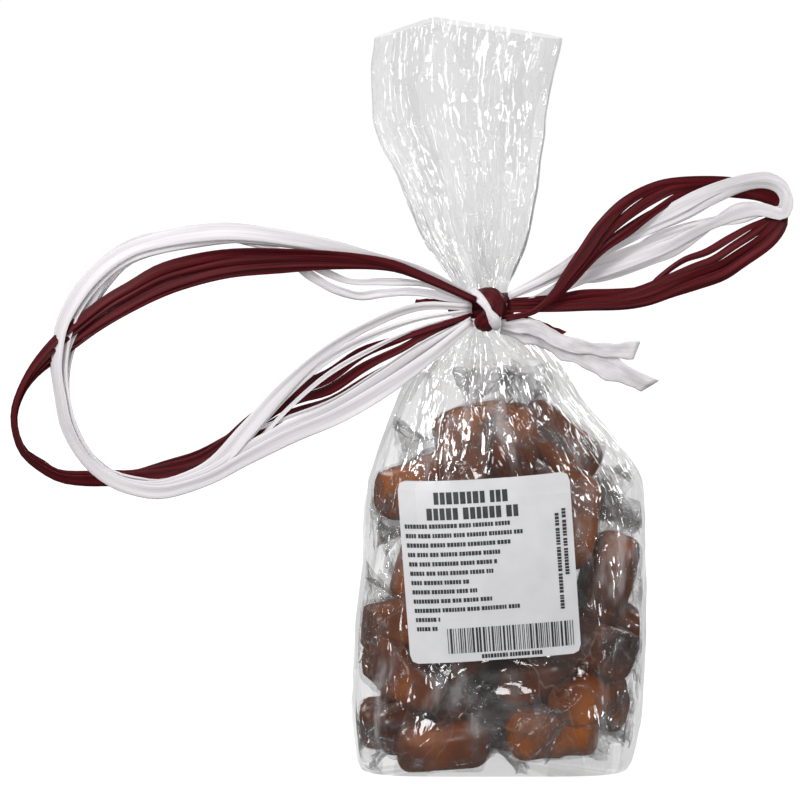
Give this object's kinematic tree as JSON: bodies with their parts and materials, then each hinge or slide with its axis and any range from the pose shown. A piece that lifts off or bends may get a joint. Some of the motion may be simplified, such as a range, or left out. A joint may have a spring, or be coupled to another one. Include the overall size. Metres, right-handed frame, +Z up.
{
  "type": "clear gift bag of wrapped caramels tied with a raffia bow",
  "caption": "Clear flat-bottomed film bag of wrapped caramels, gathered at the neck under a white and dark red raffia bow, with an open frill above and a square label in front.",
  "frame": {"origin": "middle of the bag's flat base", "axes": "+Z up from the base to the frill, -Y out of the labelled front, +X to the right of someone who reads the label"},
  "size_m": [0.2145, 0.0526, 0.208],
  "materials": {
    "film": "clear glossy crinkled film",
    "paper": "smooth white label paper",
    "raffia_white": "satin, creased along its length",
    "raffia_red": "satin, creased along its length"
  },
  "bodies": {
    "root": {"bag": "film", "label": "paper", "knot": "raffia_red", "loop_left_white": "raffia_white", "loop_left_red": "raffia_red", "loop_right_white": "raffia_white", "loop_right_red": "raffia_red", "tail_white_upper": "raffia_white", "tail_white_lower": "raffia_white", "tail_red": "raffia_red", "end_red": "raffia_red"}
  },
  "joints": []
}
